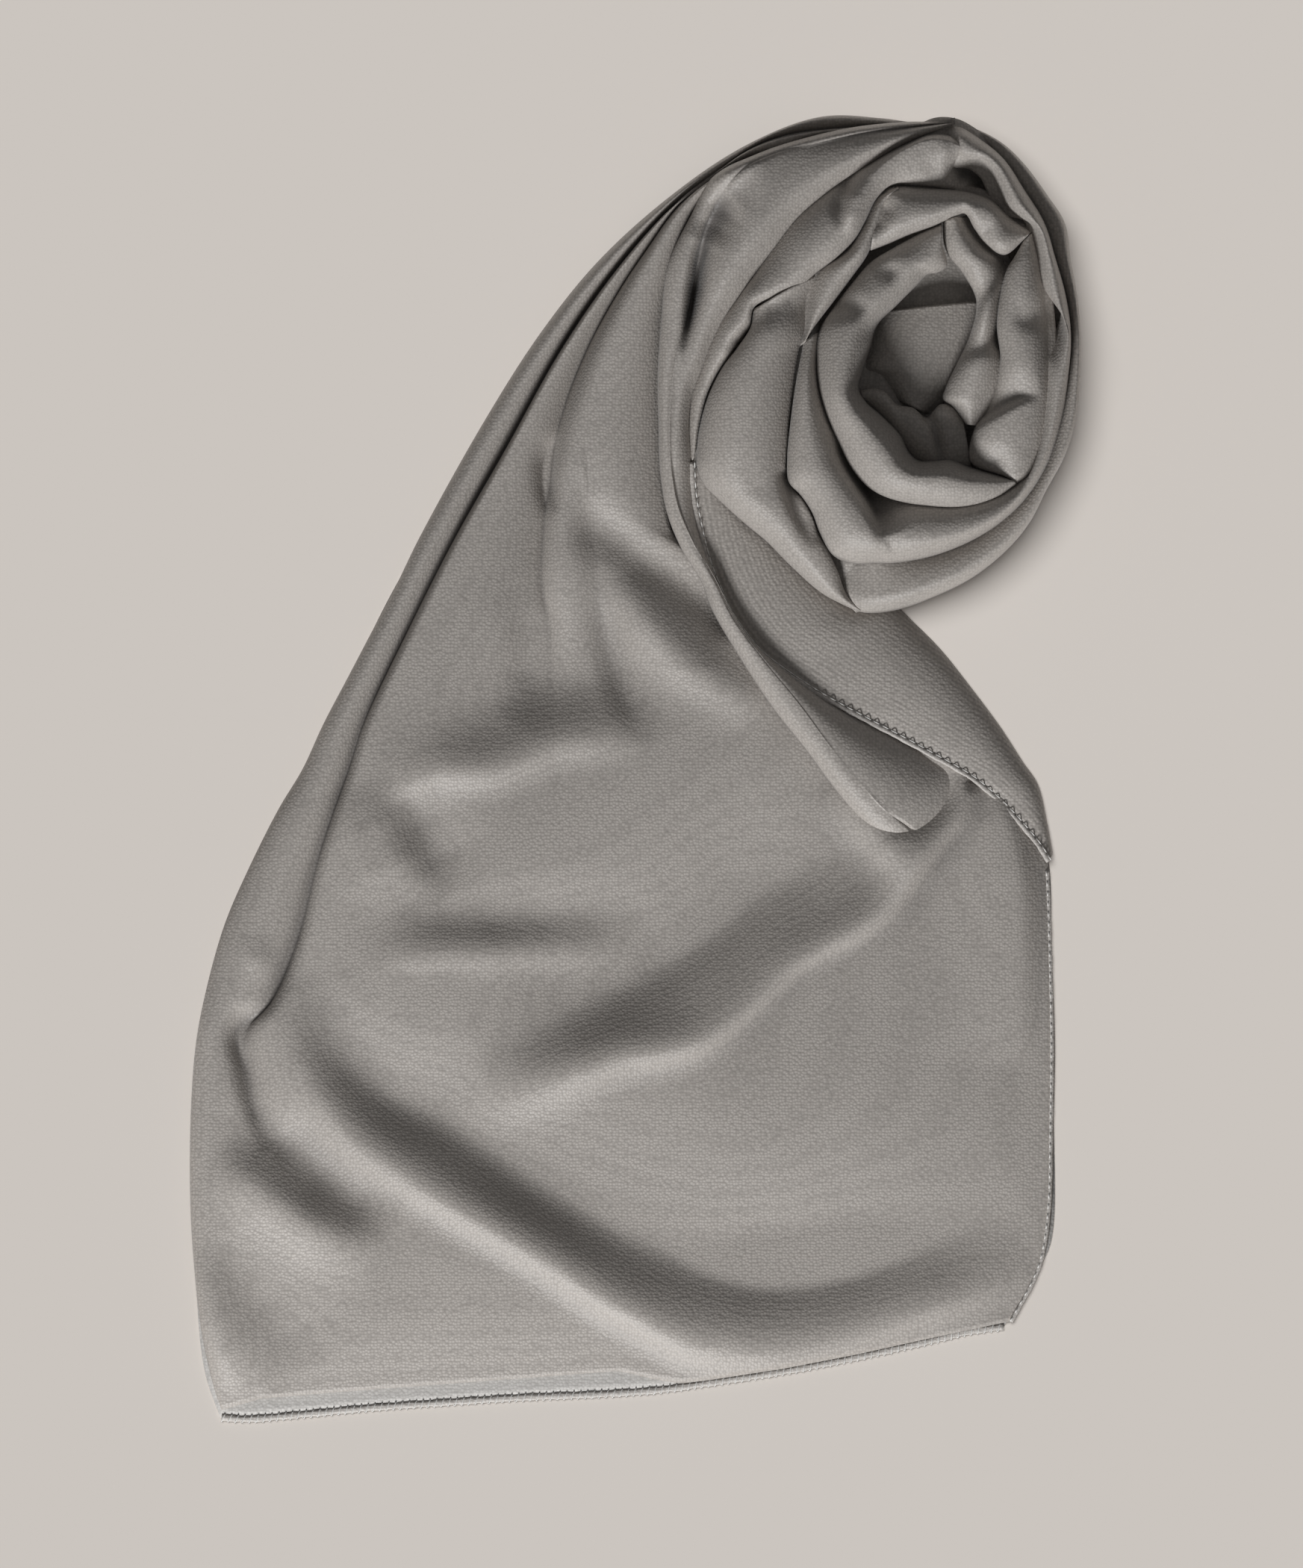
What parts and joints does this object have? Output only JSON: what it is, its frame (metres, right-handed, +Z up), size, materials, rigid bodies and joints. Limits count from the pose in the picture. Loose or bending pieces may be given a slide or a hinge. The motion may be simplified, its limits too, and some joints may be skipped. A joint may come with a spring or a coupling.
{
  "type": "georgette scarf",
  "caption": "Georgette scarf laid flat: folded lengthwise, one end fanned out and the rest swept up and wound into a loose coil.",
  "frame": {"origin": "middle of the scarf's bounding box, on the surface that it lies on", "axes": "+X to the reader's right, +Y from the fanned end towards the coil, +Z up from the surface"},
  "size_m": [0.388, 0.5686, 0.051],
  "materials": {
    "cloth": "grey-taupe georgette crepe with a pebbled grain and a soft satin sheen",
    "hem": "narrow rolled hem of the same georgette, with pale stitches"
  },
  "bodies": {
    "root": {"underlayer": "cloth", "coil_core": "cloth", "rim_turn": "cloth", "outer_turn": "cloth", "top_turn": "cloth", "inner_strip": "cloth", "inner_arc": "cloth", "inner_ring": "cloth", "right_fold_outer": "cloth", "right_fold_inner": "cloth", "petal": "cloth", "hollow_cloth": "cloth", "hollow_fold": "cloth", "sweep": "cloth", "flap": "cloth", "fan": "cloth", "side_roll": "cloth", "bottom_hem": "hem", "right_hem": "hem", "flap_hem": "hem"}
  },
  "joints": []
}
